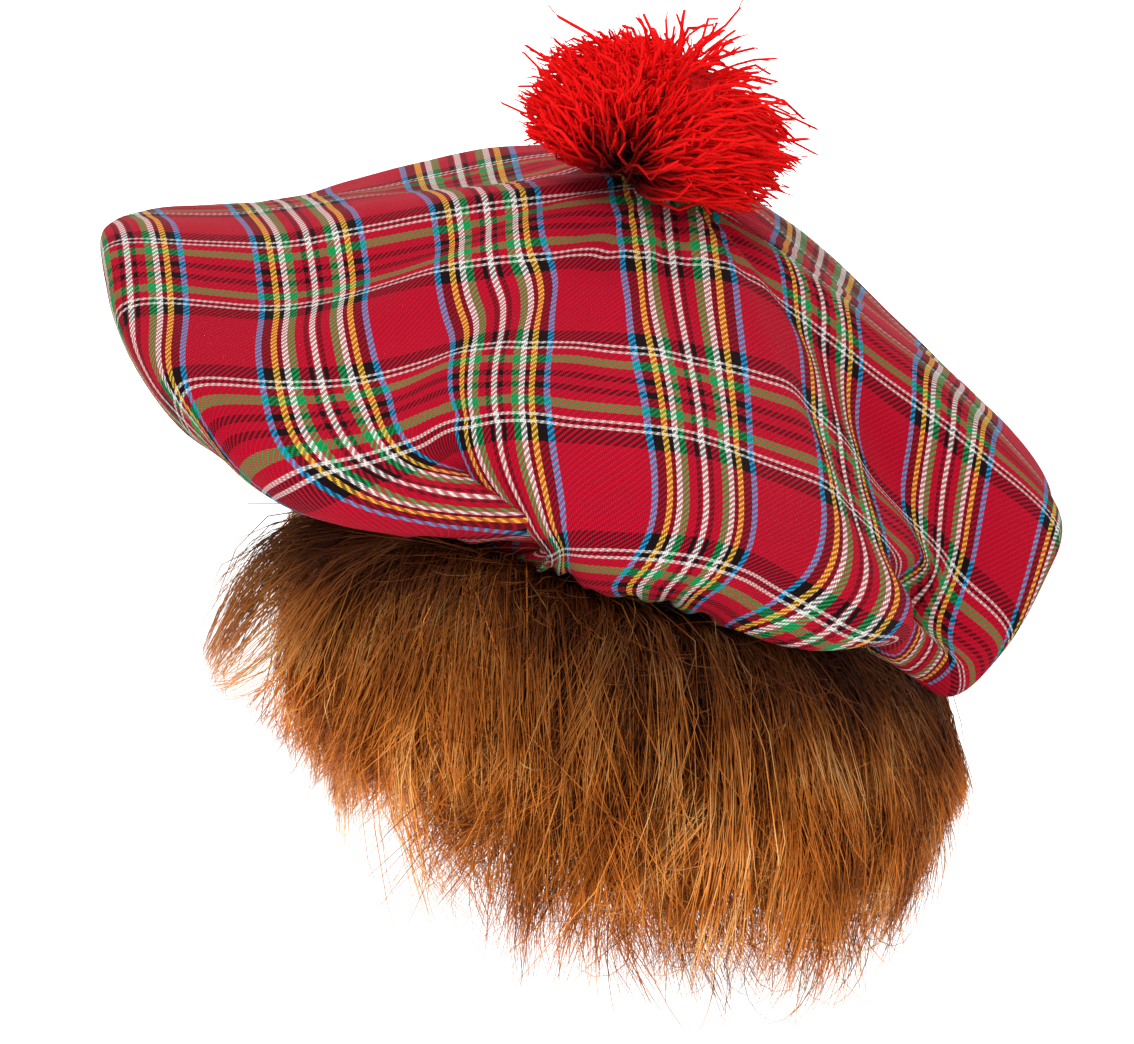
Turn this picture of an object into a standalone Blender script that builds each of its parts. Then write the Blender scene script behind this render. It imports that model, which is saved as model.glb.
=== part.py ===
"""A tam o'shanter: a floppy tartan crown gathered into a head ring, a yarn pompom
on its peak, and a fall of faux fur hair round its back and sides.

Metres, +Z up. The origin is the centre of the head opening. The wearer faces +Y.
Azimuths are in degrees from -Y, the back of the head, and grow towards +X.
"""

import math

import bpy
import numpy as np

OBJECT_NAME = "tam_o_shanter"
MM = 0.001
GAP = 0.35

# The head opening is an oval of an adult 56 cm head, tilted down towards +X.
OPENING_HALF_X = 84.0
OPENING_HALF_Y = 93.0
OPENING_TILT = 15.0

# The crown is one circle of cloth, gathered at the opening and held up at its peak.
PEAK = (12.0, 0.0, 108.0)
CROWN_WALL = 1.4
UNDERSIDE_SAG = 3.0
EDGE_OUT = 2.5

# The tape inside the opening that the gathers are sewn to.
BAND_THICK = 1.5
BAND_TOP = 9.0
BAND_BOTTOM = -11.0
BAND_SIDES = 72

# The knitted backing of the fur hangs inside the band, open at the face.
BACKING_THICK = 1.5
BACKING_TOP = -3.0
BACKING_DROP = 28.0
FACE_OPEN_AT = 125.0
BACKING_STEP = 5.0

# The fur's outer form, and how its locks swell and lengthen it.
HAIR_STEP = 6.25
LOCK_PITCH = 25.0
LOCK_SWELL = 2.5
LOCK_LENGTH = 7.0
HAIR_TOP_GAP = 1.2
ROOT_GAP = 1.0
HEM_THICK = 13.0
INNER_FACE = 33.0

# The pompom is a flattened ball of cut yarn that leans with the crown under it.
POMPOM_CENTRE = (10.5, -2.0, 126.7)
POMPOM_HALF = (40.0, 39.0, 27.0)
POMPOM_LEAN_X = 12.0
POMPOM_LEAN_Y = 12.0
POMPOM_BASE = -17.0
POMPOM_TUFT = 0.05

# A row for each section of the crown, from its peak to the opening. Cloth is the
# direction on the flat circle of cloth. Turn is the azimuth that it lies at, from
# turn_top near the peak to turn at the knee, and swing adds to it at the rim.
# Out and down are millimetres from the peak. Dome lifts the slope above a straight
# line, roll is how far the rim curls under, notch pinches the cloth into a valley
# above the rim, and ease is cloth length over surface length.
CROWN_COLUMNS = ("cloth turn_top dome turn knee_out knee_down "
                 "swing rim_out rim_down roll notch ease").split()
CROWN_SECTIONS = [
    (-180, -176, 2, -177, 110, 8, 0, 146, 38, 24, 0, 1.00),
    (-155, -151, 0, -151, 120, 6, 0, 150, 24, 26, 0, 1.00),
    (-130, -125, 0, -125, 125, 15, 0, 158, 25, 28, 0, 1.00),
    (-105, -99, 1, -99, 125, 15, 0, 167, 18, 34, 0, 1.02),
    (-88, -81, 2, -82, 115, 18, 0, 168, 20, 33, 0, 1.04),
    (-75, -70, 2, -70, 115, 31, 0, 167, 38, 26, 0, 1.03),
    (-62, -58, 4, -59, 125, 42, 1, 164, 52, 20, 0, 1.01),
    (-48, -46, 5, -46, 117, 53, 0, 149, 73, 14, 0, 1.01),
    (-40, -37, 3.5, -37, 113, 52, 1, 136, 74, 17, 0, 1.01),
    (-35, -32, 2, -32, 113, 53, 0, 127, 81, 10, 0, 1.01),
    (-32, -29, 1, -29, 114, 54, 3, 121, 74, 10, 0, 1.00),
    (-29, -26, 0, -26, 113, 55, 1, 126, 74, 8, 0, 1.00),
    (-25, -22, -1, -21, 110, 56, -1, 125, 80, 9, 0, 1.00),
    (-20, -16, -1, -15, 106, 57, -3, 123, 82, 9, 0, 1.00),
    (-9, -5, -1, -4, 98, 62, -4, 124, 92, 9, 0, 1.00),
    (0, 5, 0, 6, 93, 65, -3, 122, 95, 9, 0, 1.00),
    (7, 14, 3, 14, 90, 70, -4, 119, 100, 10, 0, 1.00),
    (14, 24, 6, 23, 89, 77, -6, 113, 107, 11, 0, 1.00),
    (19, 31, 8, 30, 89, 82, -4, 110, 114, 11, 0, 1.00),
    (27, 41, 10, 39, 88, 92, 2, 106, 114, 13, 0, 1.00),
    (34, 49, 13, 48, 83, 96, 1, 94, 123, 13, 4, 0.99),
    (42, 57, 13, 57, 78, 96, 1, 93, 134, 11, 10, 0.98),
    (50, 64, 15, 63, 78, 97, 0, 98, 141, 9, 6, 0.98),
    (61, 72, 11, 70, 83, 86, 0, 107, 133, 7, 0, 0.99),
    (75, 81, 5, 80, 93, 76, 0, 118, 108, 11, 0, 1.03),
    (92, 94, 3, 94, 95, 72, 0, 118, 104, 18, 0, 1.00),
    (120, 122, 3, 122, 96, 63, 0, 128, 95, 20, 0, 1.00),
    (150, 152, 4, 152, 100, 33, 0, 138, 70, 22, 0, 1.00),
]

# The cage has a column at each cloth direction of these spans, closer at the folds,
# and a ring at each of these places between the sections' own points.
CAGE_SPANS = [(-180, -60, 12), (-60, -44, 8), (-44, -20, 4), (-20, 20, 8),
              (20, 52, 4), (52, 76, 6), (76, 180, 13)]
CAGE_RINGS = (0.5, 1, 1.5, 2, 2.4, 2.7, 3, 3.5, 4, 5, 6)

# A row for each section of the hair. Out is millimetres beyond the band, and height
# is millimetres above the origin.
HAIR_COLUMNS = ("azimuth shoulder_out shoulder_height bulge_out bulge_height "
                "hem_out hem_height").split()
HAIR_SECTIONS = [
    (-125, 9, 8, 12, -24, 8, -50),
    (-90, 11, 8, 17, -22, 9, -54),
    (-60, 15, 7, 22, -30, 11, -63),
    (-40, 15, 10, 26, -38, 16, -76),
    (-20, 15, 9, 28, -46, 19, -98),
    (0, 16, -5, 27, -54, 19, -112),
    (20, 15, -15, 26, -60, 18, -120),
    (45, 12, -27, 23, -70, 14, -118),
    (60, 10, -36, 20, -74, 12, -108),
    (75, 9, -31, 20, -74, 10, -100),
    (90, 9, -26, 20, -74, 9, -93),
    (125, 10, -21, 16, -60, 8, -86),
]


def periodic(places, values, at, rise=0.0):
    """Cubic interpolation round a full turn, on which the values grow by rise."""
    x = np.concatenate([places[-2:] - 360, places, places[:2] + 360])
    y = np.concatenate([values[-2:] - rise, values, values[:2] + rise])
    step = np.diff(x)
    slope = np.diff(y) / step
    tangent = np.zeros(len(x))
    tangent[1:-1] = (slope[:-1] * step[1:] + slope[1:] * step[:-1]) / (step[1:] + step[:-1])
    i = np.clip(np.searchsorted(x, at, side="right") - 1, 1, len(x) - 3)
    t = (at - x[i]) / step[i]
    return hermite(t, y[i], y[i + 1], step[i] * tangent[i], step[i] * tangent[i + 1])


def hermite(t, start, end, start_tangent, end_tangent):
    """A cubic from start to end as t goes from 0 to 1."""
    return ((2 * t**3 - 3 * t**2 + 1) * start + (t**3 - 2 * t**2 + t) * start_tangent
            + (3 * t**2 - 2 * t**3) * end + (t**3 - t**2) * end_tangent)


def crown_table(cloth):
    """Each column of the crown's table at the given cloth directions."""
    rows = np.array(CROWN_SECTIONS, float)
    table = {}
    for k, name in enumerate(CROWN_COLUMNS[1:], 1):
        rise = 360.0 if name.startswith("turn") else 0.0
        table[name] = periodic(rows[:, 0], rows[:, k], cloth, rise)
    return table


def outward(azimuth):
    """Level unit vectors at the azimuths."""
    a = np.radians(azimuth)
    return np.stack([np.sin(a), -np.cos(a), np.zeros_like(a)], axis=-1)


def opening(azimuth, out=0.0, up=0.0):
    """Points beside the oval of the opening, out and up in its tilted plane."""
    a = np.radians(azimuth)
    x = (OPENING_HALF_X + out) * np.sin(a)
    y = -(OPENING_HALF_Y + out) * np.cos(a)
    c = math.cos(math.radians(OPENING_TILT))
    s = math.sin(math.radians(OPENING_TILT))
    return np.stack([c * x + s * up, y, c * up - s * x], axis=-1)


def crown_points(cloth, rings):
    """The crown's outer surface: a row of points for each ring, 0 at the peak."""
    t = crown_table(cloth)

    def from_peak(azimuth, out, down):
        return np.array(PEAK) + outward(azimuth) * out[:, None] - np.outer(down, (0, 0, 1))

    zero = np.zeros_like(cloth)
    peak = from_peak(zero, zero, zero)
    slope = from_peak(t["turn_top"], t["knee_out"] / 2, t["knee_down"] / 2 - t["dome"])
    knee = from_peak(t["turn"], t["knee_out"], t["knee_down"])
    rim = from_peak(t["turn"] + t["swing"], t["rim_out"], t["rim_down"])
    under = from_peak(t["turn"] + 2 * t["swing"], t["rim_out"] - t["roll"] / 2,
                      t["rim_down"] + t["roll"])
    edge = opening(t["turn"], EDGE_OUT)
    sag = (under + edge) / 2 - (0, 0, UNDERSIDE_SAG)
    points = np.stack([peak, slope, knee, rim, under, sag, edge])

    step = np.linalg.norm(np.diff(points, axis=0), axis=2)[:, :, None] ** 0.5
    rate = np.diff(points, axis=0) / step
    tangent = np.zeros_like(points)
    tangent[1:-1] = (rate[:-1] * step[1:] + rate[1:] * step[:-1]) / (step[1:] + step[:-1])
    tangent[0] = 1.5 * rate[0] - 0.5 * tangent[1]
    tangent[-1] = 1.5 * rate[-1] - 0.5 * tangent[-2]

    rows = []
    for ring in rings:
        i = min(int(ring), len(points) - 2)
        row = hermite(ring - i, points[i], points[i + 1],
                      step[i] * tangent[i], step[i] * tangent[i + 1])
        pinch = swell(ring, 2.62, 0.38) - 0.5 * swell(ring, 2.2, 0.4)
        rows.append(row - outward(t["turn"]) * (t["notch"] * pinch)[:, None])
    return np.array(rows)


def against_smoothing(rows):
    """The cage's points moved out by what the subdivision will draw them in."""
    peak = np.broadcast_to(np.array(PEAK), rows[:1].shape)
    padded = np.concatenate([peak, rows, 2 * rows[-1:] - rows[-2:-1]])
    around = (np.roll(padded, 1, axis=1) + 6 * padded + np.roll(padded, -1, axis=1)) / 8
    drawn_in = (around[:-2] + 6 * around[1:-1] + around[2:]) / 8
    return 2 * rows - drawn_in


def swell(place, centre, half_width):
    """A smooth bump of height 1 at centre, 0 beyond half_width from it."""
    return max(0.0, 1 - ((place - centre) / half_width) ** 2) ** 2


def hair_loops():
    """The closed outline of the hair's solid at each azimuth."""
    rows = np.array(HAIR_SECTIONS, float)
    count = round(2 * FACE_OPEN_AT / HAIR_STEP) + 1
    azimuth = np.linspace(-FACE_OPEN_AT, FACE_OPEN_AT, count)
    table = {name: smooth_between(rows[:, 0], rows[:, k], azimuth)
             for k, name in enumerate(HAIR_COLUMNS)}
    lock = np.cos(np.radians(azimuth * 360 / LOCK_PITCH))

    face = opening(azimuth, ROOT_GAP - BAND_THICK / 2, BAND_BOTTOM)
    top_height = face[:, 2] - HAIR_TOP_GAP
    bulge_out = table["bulge_out"] + LOCK_SWELL * lock
    hem_height = table["hem_height"] - LOCK_LENGTH * lock
    hem_in = table["hem_out"] - HEM_THICK
    outline = [
        (np.zeros_like(azimuth), top_height),
        (np.zeros_like(azimuth), top_height - INNER_FACE),
        (hem_in / 2, 0.45 * top_height + 0.55 * hem_height),
        (hem_in, hem_height + 6),
        (hem_in + HEM_THICK / 2, hem_height - 2),
        (table["hem_out"] + LOCK_SWELL * lock, hem_height + 6),
        (0.45 * bulge_out + 0.55 * table["hem_out"], (table["bulge_height"] + hem_height) / 2),
        (bulge_out, table["bulge_height"]),
        (table["shoulder_out"], table["shoulder_height"]),
        (table["shoulder_out"] * 0.45, (table["shoulder_height"] + top_height) / 2),
    ]
    loops = []
    for out, height in outline:
        points = face + outward(azimuth) * out[:, None]
        points[:, 2] = height
        loops.append(points)
    return np.array(loops)


def smooth_between(places, values, at):
    """Values between the rows of an open table, eased along a smooth curve."""
    tangent = np.gradient(values, places)
    i = np.clip(np.searchsorted(places, at, side="right") - 1, 0, len(places) - 2)
    step = places[i + 1] - places[i]
    t = (at - places[i]) / step
    return hermite(t, values[i], values[i + 1], step * tangent[i], step * tangent[i + 1])


def material(name, colour, roughness):
    """A plain cloth, yarn or fibre finish."""
    made = bpy.data.materials.new(name)
    made.use_nodes = True
    shader = made.node_tree.nodes["Principled BSDF"]
    shader.inputs["Base Color"].default_value = (*colour, 1.0)
    shader.inputs["Roughness"].default_value = roughness
    shader.inputs["Metallic"].default_value = 0.0
    made.diffuse_color = (*colour, 1.0)
    return made


def add_mesh(name, points, faces, collection, finish):
    """An object with a smooth mesh from points in millimetres."""
    mesh = bpy.data.meshes.new(name)
    mesh.from_pydata([tuple(p) for p in np.asarray(points) * MM], [], faces)
    mesh.materials.append(finish)
    mesh.shade_smooth()
    made = bpy.data.objects.new(name, mesh)
    collection.objects.link(made)
    return made


def add_subdivision(made, levels):
    smooth = made.modifiers.new("smooth", "SUBSURF")
    smooth.levels = levels
    smooth.render_levels = levels


def add_wall(made, thickness, offset):
    wall = made.modifiers.new("wall", "SOLIDIFY")
    wall.thickness = thickness * MM
    wall.offset = offset


def grid_faces(rows, columns, closed):
    """Quads over rows of points, joined round when closed."""
    last = columns if closed else columns - 1
    return [(r * columns + c, (r + 1) * columns + c,
             (r + 1) * columns + (c + 1) % columns, r * columns + (c + 1) % columns)
            for r in range(rows - 1) for c in range(last)]


def make_crown(collection):
    """The crown: a coarse cage of the cloth, smoothed and given its wall."""
    cloth = np.concatenate([np.arange(start, end - 0.5 * step, step)
                            for start, end, step in CAGE_SPANS])
    rows = against_smoothing(crown_points(cloth, CAGE_RINGS))
    count = len(cloth)
    points = np.vstack([rows.reshape(-1, 3), [PEAK]])
    peak = len(points) - 1
    faces = grid_faces(len(rows), count, closed=True)
    faces += [(peak, c, (c + 1) % count) for c in range(count)]
    crown = add_mesh("crown", points, faces, collection,
                     material("tartan_cloth", (0.55, 0.03, 0.06), 0.85))
    add_subdivision(crown, 1)
    add_wall(crown, CROWN_WALL, -1)


def make_headband(collection):
    """The tape ring inside the opening."""
    bpy.ops.mesh.primitive_cylinder_add(vertices=BAND_SIDES, radius=1.0,
                                        depth=(BAND_TOP - BAND_BOTTOM) * MM,
                                        end_fill_type="NOTHING")
    band = bpy.context.object
    band.name = "headband"
    band.scale = (OPENING_HALF_X * MM, OPENING_HALF_Y * MM, 1.0)
    bpy.ops.object.transform_apply(location=False, rotation=False, scale=True)
    band.data.name = "headband"
    band.data.materials.append(material("band_tape", (0.03, 0.025, 0.03), 0.9))
    band.data.shade_smooth()
    tilt = math.radians(OPENING_TILT)
    rise = (BAND_TOP + BAND_BOTTOM) / 2 * MM
    band.rotation_euler = (0.0, tilt, 0.0)
    band.location = (rise * math.sin(tilt), 0.0, rise * math.cos(tilt))
    add_wall(band, BAND_THICK, 0)
    for old in list(band.users_collection):
        old.objects.unlink(band)
    collection.objects.link(band)


def make_backing(collection):
    """The C-shaped strip that the hair grows from."""
    count = round(2 * FACE_OPEN_AT / BACKING_STEP) + 1
    azimuth = np.linspace(-FACE_OPEN_AT, FACE_OPEN_AT, count)
    inside = -(BAND_THICK + BACKING_THICK) / 2 - GAP
    top = opening(azimuth, inside, BACKING_TOP)
    bend = opening(azimuth, inside, BAND_BOTTOM)
    rows = [top, bend]
    for part in (0.5, 1.0):
        rows.append(bend - (0, 0, part * BACKING_DROP))
    backing = add_mesh("wig_backing", np.vstack(rows), grid_faces(len(rows), count, closed=False),
                       collection, material("knit_backing", (0.10, 0.05, 0.02), 0.9))
    add_wall(backing, BACKING_THICK, 0)


def make_hair(collection):
    """The outer form of the hair: a loft through its sections, closed at both ends."""
    loops = hair_loops()
    around, along = loops.shape[:2]
    points = loops.transpose(1, 0, 2).reshape(-1, 3)
    faces = [(s * around + k, (s + 1) * around + k,
              (s + 1) * around + (k + 1) % around, s * around + (k + 1) % around)
             for s in range(along - 1) for k in range(around)]
    faces.append(tuple(range(around)))
    faces.append(tuple((along - 1) * around + k for k in range(around))[::-1])
    hair = add_mesh("hair", points, faces, collection,
                    material("faux_hair", (0.25, 0.09, 0.025), 0.7))
    add_subdivision(hair, 1)


def make_pompom(collection):
    """The pompom: a ball with tufts, flat where it sits on the crown."""
    bpy.ops.mesh.primitive_ico_sphere_add(subdivisions=4, radius=1.0)
    pompom = bpy.context.object
    pompom.name = "pompom"
    pompom.data.name = "pompom"
    for vertex in pompom.data.vertices:
        x, y, z = vertex.co
        tuft = math.sin(7 * x + 3 * z) * math.sin(6 * y - 4 * z) + 0.5 * math.sin(11 * (x + y))
        grown = 1 + POMPOM_TUFT * tuft
        height = z * POMPOM_HALF[2] * grown
        base = POMPOM_BASE
        if height < base:
            height = base + 0.15 * (height - base)
        vertex.co = (x * POMPOM_HALF[0] * grown * MM, y * POMPOM_HALF[1] * grown * MM, height * MM)
    pompom.rotation_euler = (math.radians(POMPOM_LEAN_X), math.radians(POMPOM_LEAN_Y), 0.0)
    pompom.location = [c * MM for c in POMPOM_CENTRE]
    pompom.data.materials.append(material("pompom_yarn", (0.75, 0.02, 0.03), 0.9))
    pompom.data.shade_smooth()
    for old in list(pompom.users_collection):
        old.objects.unlink(pompom)
    collection.objects.link(pompom)


def main():
    for old in list(bpy.data.objects):
        bpy.data.objects.remove(old)
    collection = bpy.data.collections.new(OBJECT_NAME)
    bpy.context.scene.collection.children.link(collection)
    make_crown(collection)
    make_headband(collection)
    make_backing(collection)
    make_hair(collection)
    make_pompom(collection)


main()
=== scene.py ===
"""The looks of a tam o'shanter: a tartan twill crown, a yarn pompom and faux hair.

Lengths in the tables are millimetres and angles degrees, as in the part's own
source; meshes are written in metres. Azimuths start at -Y, the back of the head,
which faces the camera, and grow towards +X.
"""

import math

import bpy
import numpy as np
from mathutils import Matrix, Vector, noise


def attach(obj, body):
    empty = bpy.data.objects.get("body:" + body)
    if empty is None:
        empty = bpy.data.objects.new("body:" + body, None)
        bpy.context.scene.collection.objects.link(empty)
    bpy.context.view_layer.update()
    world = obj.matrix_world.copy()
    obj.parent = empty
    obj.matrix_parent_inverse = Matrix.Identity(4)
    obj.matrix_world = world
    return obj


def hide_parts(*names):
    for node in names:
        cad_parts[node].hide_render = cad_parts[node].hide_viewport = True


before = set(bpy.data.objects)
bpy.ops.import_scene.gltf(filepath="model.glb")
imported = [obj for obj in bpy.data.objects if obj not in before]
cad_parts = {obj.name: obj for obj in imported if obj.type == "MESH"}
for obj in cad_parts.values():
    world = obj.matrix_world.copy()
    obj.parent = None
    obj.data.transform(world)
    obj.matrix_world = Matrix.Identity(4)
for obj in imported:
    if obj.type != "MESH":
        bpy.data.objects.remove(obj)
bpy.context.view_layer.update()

MM = 0.001
SEED = 12

# The opening, the peak and the band as the part has them, and a cloth a little thinner.
OPENING_HALF_X = 84.0
OPENING_HALF_Y = 93.0
OPENING_TILT = 15.0
PEAK = np.array((12.0, 0.0, 108.0))
CROWN_WALL = 1.2
UNDERSIDE_SAG = 3.0
EDGE_OUT = 2.5
BAND_THICK = 1.5
BAND_BOTTOM = -11.0

# A row for each section of the crown, from its peak to the opening. It is as in the part,
# but with a deeper fold from -51 to -9. cloth is a section's direction on the flat cloth,
# turn_top its azimuth above the knee and turn its azimuth from there on. Knee and rim are
# out and down from the peak, and dome lifts the cloth above the knee. swing turns the rim
# further round, and roll is how far the rim rounds under. notch pinches the cloth in above
# the rim, ease is its slack, and pocket tucks it in under the rim.
CROWN_COLUMNS = ("cloth turn_top dome turn knee_out knee_down "
                 "swing rim_out rim_down roll notch ease pocket").split()
CROWN_SECTIONS = [
    (-180, -176, 2, -177, 110, 8, 0, 146, 38, 24, 0, 1.00, 0),
    (-155, -151, 0, -151, 120, 6, 0, 150, 24, 26, 0, 1.00, 0),
    (-130, -125, 0, -125, 125, 15, 0, 158, 25, 28, 0, 1.00, 0),
    (-105, -99, 1, -99, 125, 15, 0, 167, 18, 34, 0, 1.02, 0),
    (-88, -81, 2, -82, 115, 18, 0, 168, 20, 33, 0, 1.04, 0),
    (-75, -70, 2, -70, 115, 31, 0, 167, 38, 26, 0, 1.03, 0),
    (-62, -58, 4, -59, 125, 42, 1, 164, 52, 20, 0, 1.01, 0),
    (-51, -48.5, 4, -48.5, 118, 51, 1, 153, 70, 14.5, 0, 1.02, 0),
    (-45.5, -42.5, 3, -42.5, 115, 53, 4, 142, 75, 12.5, 0, 1.035, 0),
    (-41, -38, 2, -38.5, 114, 54, 8, 131, 77, 9, 0, 1.045, 3),
    (-37.5, -34.5, 1.5, -35.5, 114, 56, 13, 122, 79, 8, 0, 1.045, 11),
    (-33.5, -31, 1, -32, 114, 57.5, 12, 118, 80, 8, 0, 1.035, 12),
    (-30.5, -28, 0.5, -29.8, 114, 59, 6, 117, 84, 9, 0, 1.02, 4),
    (-26, -23, 0, -25.5, 113, 60, 4, 119, 84, 11, 0, 1.01, 0),
    (-21, -18, 0, -20.5, 110, 60.5, 1.8, 122, 84, 12, 0, 1.00, 0),
    (-16, -12, 0.5, -14.5, 104, 61, 0, 125, 84, 9, 0, 1.00, 0),
    (-9, -5, 0, -4, 98, 62, -3.5, 124, 92, 9, 0, 1.00, 0),
    (0, 5, 0, 6, 93, 65, -3, 122, 95, 9, 0, 1.00, 0),
    (7, 14, 3, 14, 90, 70, -4, 119, 100, 10, 0, 1.00, 0),
    (14, 24, 6, 23, 89, 77, -6, 113, 107, 11, 0, 1.00, 0),
    (19, 31, 8, 30, 89, 82, -4, 110, 114, 11, 0, 1.00, 0),
    (27, 41, 10, 39, 88, 92, 2, 106, 114, 13, 0, 1.00, 0),
    (34, 49, 13, 48, 83, 96, 1, 94, 123, 13, 4, 0.99, 0),
    (42, 57, 13, 57, 78, 96, 1, 93, 134, 11, 10, 0.98, 0),
    (50, 64, 15, 63, 78, 97, 0, 98, 141, 9, 6, 0.98, 0),
    (61, 72, 11, 70, 83, 86, 0, 107, 133, 7, 0, 0.99, 0),
    (75, 81, 5, 80, 93, 76, 0, 118, 108, 11, 0, 1.03, 0),
    (92, 94, 3, 94, 95, 72, 0, 118, 104, 18, 0, 1.00, 0),
    (120, 122, 3, 122, 96, 63, 0, 128, 95, 20, 0, 1.00, 0),
    (150, 152, 4, 152, 100, 33, 0, 138, 70, 22, 0, 1.00, 0),
]

# The fine mesh of the crown: rows between its sections' points, and columns round it,
# set closer together at the folds.
CROWN_ROWS = (20, 22, 26, 12, 12, 13)
CROWN_ARCS = [(-180, -50, 1.0), (-50, -18, 0.4), (-18, 22, 0.9), (22, 56, 0.5), (56, 180, 1.0)]

# Rings are counted down the cloth: 0 is the peak, then slope, knee, rim, under the rim,
# sag and edge. The notch has its middle and half width, and so has the lip above it. A
# reach is where something starts, is full, fades and ends.
NOTCH_PUSH = (2.62, 0.38)
NOTCH_LIP = (2.2, 0.4)
POCKET_REACH = (2.5, 3.0, 4.0, 4.8)
FOLD_DELAY = 0.95
EDGE_SWING = 0.3

# The relief of the cloth: gathers at the opening, a pucker at the peak, and soft waves
# with finer creases between them.
GATHER_COUNT = 61
GATHER_DEPTH = 1.5
GATHER_GROWS = (4.3, 5.6)
GATHER_HELD = (5.7, 6.0)
PUCKER_COUNT = 26
PUCKER_DEPTH = 0.35
PUCKER_REACH = (0.05, 0.3, 0.5, 1.2)
WAVE_DEPTH = 1.12
WAVE_LENGTH = 48.0
CREASE_DEPTH = 0.5
CREASE_LENGTH = 17.0
WAVE_REACH = (0.2, 1.0, 4.5, 5.5)

# The tartan: the size of one repeat across and along the cloth, where its first
# bands cross the peak, and the threads in a repeat. Stripes are shares of a repeat
# from a band's middle, mirrored on its other side.
SETT_ACROSS = 56.0
SETT_ALONG = 75.0
SETT_AT_PEAK = (4.02, -0.305)
ENDS = 122.0
PICKS = 148.0
THREAD_BLEND = 0.20
CLOTH_RED = (0.50, 0.003, 0.022)
CLOTH_BLACK = (0.010, 0.003, 0.005)
CLOTH_WHITE = (0.86, 0.83, 0.78)
CLOTH_GREEN = (0.006, 0.33, 0.09)
CLOTH_YELLOW = (0.93, 0.52, 0.06)
CLOTH_BLUE = (0.012, 0.33, 0.66)
WARP_STRIPES = [
    (0.012, CLOTH_WHITE), (0.026, CLOTH_RED), (0.046, CLOTH_BLACK), (0.094, CLOTH_RED),
    (0.136, CLOTH_GREEN), (0.174, CLOTH_WHITE), (0.195, CLOTH_BLACK), (0.228, CLOTH_YELLOW),
    (0.275, CLOTH_BLACK), (0.312, CLOTH_BLUE), (0.5, CLOTH_RED),
]
WEFT_STRIPES = [
    (0.02, CLOTH_RED), (0.05, CLOTH_BLACK), (0.10, CLOTH_RED), (0.145, CLOTH_GREEN),
    (0.190, CLOTH_RED), (0.203, CLOTH_WHITE), (0.223, CLOTH_BLACK), (0.2365, CLOTH_WHITE),
    (0.309, CLOTH_BLACK), (0.5, CLOTH_RED),
]
TWILL_REPEAT = 4.0
# Painted light and shade along the twill's ribs: warp floats lighter and weft floats darker.
RIB_PAINTED_LIGHT_AND_SHADE = (1.14, 0.84)
# Painted shade: each thread darker towards its edges, where shade falls between threads, and a
# little lighter on its crown.
THREAD_EDGE_PAINTED_SHADE = (0.48, 1.10)
FUZZ_SHADES = (0.75, 1.25)
WORN_SHADES = (0.90, 1.14)
THREAD_HEIGHT = 0.22

# A row for each section of the hair, as in the part but for three higher shoulders.
FACE_OPEN_AT = 125.0
HAIR_TOP_GAP = 1.2
BACKING_DROP = 28.0
HAIR_COLUMNS = ("azimuth shoulder_out shoulder_height bulge_out bulge_height "
                "hem_out hem_height").split()
HAIR_SECTIONS = [
    (-125, 9, 8, 12, -24, 8, -50),
    (-90, 11, 8, 17, -22, 9, -54),
    (-60, 15, 10, 22, -30, 11, -63),
    (-40, 15, 12, 26, -38, 16, -76),
    (-20, 15, 11, 28, -46, 19, -98),
    (0, 16, -5, 27, -54, 19, -112),
    (20, 15, -15, 26, -60, 18, -120),
    (45, 12, -27, 23, -70, 14, -118),
    (60, 10, -36, 20, -74, 12, -108),
    (75, 9, -31, 20, -74, 10, -100),
    (90, 9, -26, 20, -74, 9, -93),
    (125, 10, -21, 16, -60, 8, -86),
]
FARTHEST_OUT = 44.0
LOWEST_TIP = -139.0

# The fall of a strand, from its root on the backing over shoulder and bulge to the hem.
# The layer is 0 for the outermost hair, whose roots cover the band, and 1 for the
# innermost, which hangs close and low.
FALL_COLUMNS = "azimuth layer reach drop sweep".split()
COVERS_BAND = (0.1, 0.4)
ROOT_RISE = 9.5
LAYER_SHRINK = 0.72
BULGE_SWEEP = 0.6
NEAR_HEM = 0.6

# The locks and what differs between them. The left side is swept further round, and
# the hair parts at the middle. Painted shade darkens the locks at the parting, and painted
# light brightens the left side, which the crown shades.
LOCKS = 640
UNDER_FUR_STEPS = 90
STRANDS_IN_LOCK = 29
LEFT_SIDE = (-128, -90, -45, 20)
RIGHT_SIDE = (30, 80, 95, 128)
OUTER_LAYERS = (0.2, 0.5)
CUT_SHORT = (0.02, 0.58)
FULL_LENGTH_SHARE = 0.35
SWEEP_SPREAD = 10.5
LEFT_SWEEP = 20.0
RIGHT_SWEEP = 9.0
# Where the painted shade of the parting is, and how wide, in degrees.
PARTING_AT = 4
PARTING_WIDTH = 15
LOCK_REACH = (0.84, 1.05)
LOCK_LIFT = (-2, 6)
LOCK_WIDTH = (1.8, 5)
LOCK_CLUMP = (0.5, 0.97)
# Painted light on the left side: how much brighter its locks are, and how much shorter their
# painted root shade.
LEFT_PAINTED_LIGHT = 0.42
LEFT_ROOT_SHADE_LIFT = 0.8

# The strands in a lock: how they spread at the root, close up, wave and come loose.
STRAND_STEPS = 5
STRAND_RADIUS = 0.20
STRAND_SPREAD = 0.6
ENDS_WITHIN = (0.25, 1.25)
CLOSES_UP = (0.15, 1.0)
LOOSE_TURN = 13.0
LOOSE_OUT = 2.5
LOCK_WAVE = 3.4
LOCK_PACE = (0.4, 1.1)
OWN_WAVE = 1.3
OWN_PACE = (0.5, 1.6)

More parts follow.
